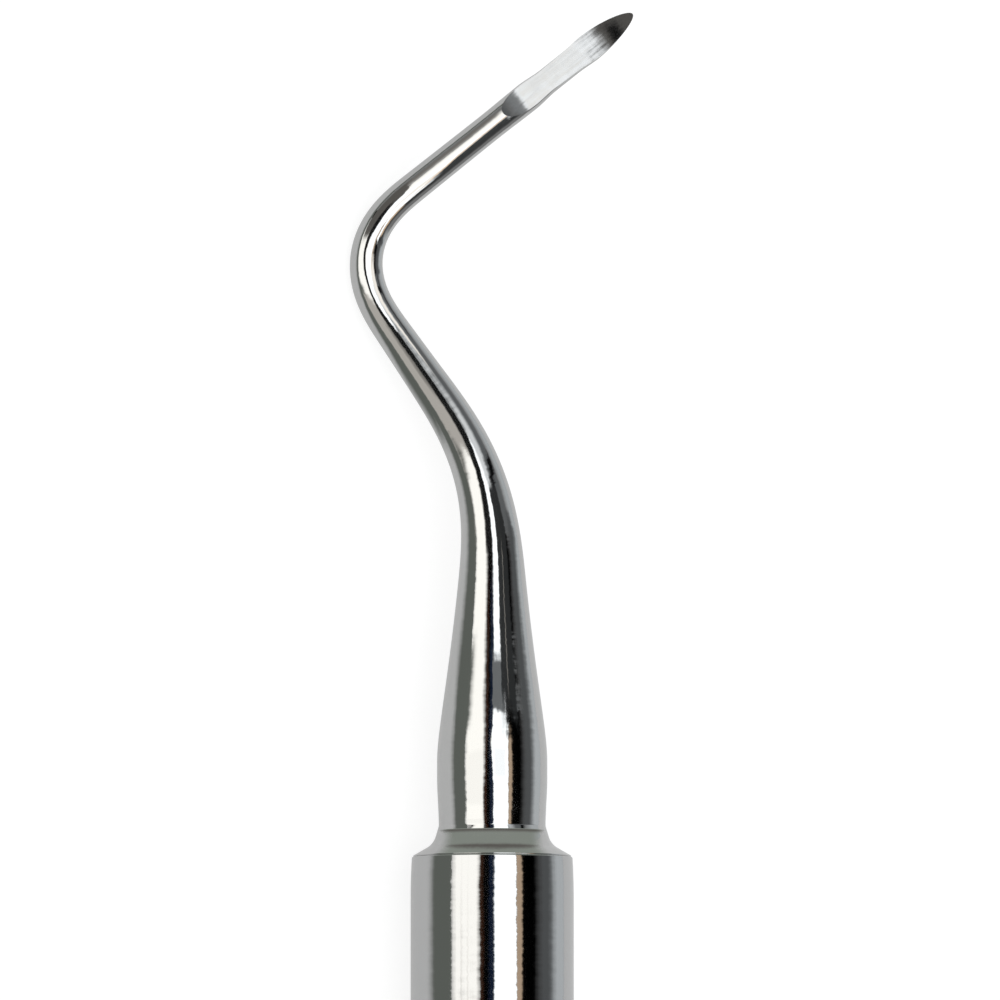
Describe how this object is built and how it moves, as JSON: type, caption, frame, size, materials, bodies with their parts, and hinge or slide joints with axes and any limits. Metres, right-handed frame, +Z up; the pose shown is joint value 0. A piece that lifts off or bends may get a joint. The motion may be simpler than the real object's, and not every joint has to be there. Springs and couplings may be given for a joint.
{
  "type": "root tip pick",
  "caption": "Slim steel hand pick with a hollow round handle and a tapered shank, bent twice in one plane, that ends in a small half-round spear blade.",
  "frame": {"origin": "centre of the handle's flat butt face, on the handle's axis", "axes": "X along the handle, with the butt's outward normal at +X and the tip towards -X; +Z up as the pick lies, with the outer bend touching the surface on the -Y side"},
  "size_m": [0.1653, 0.0143, 0.0094],
  "materials": {
    "handle_steel": "mirror polished",
    "working_steel": "mirror polished, ground face satin"
  },
  "bodies": {
    "root": {"handle_tube": "handle_steel", "butt_plug": "handle_steel", "working_end": "working_steel"}
  },
  "joints": []
}
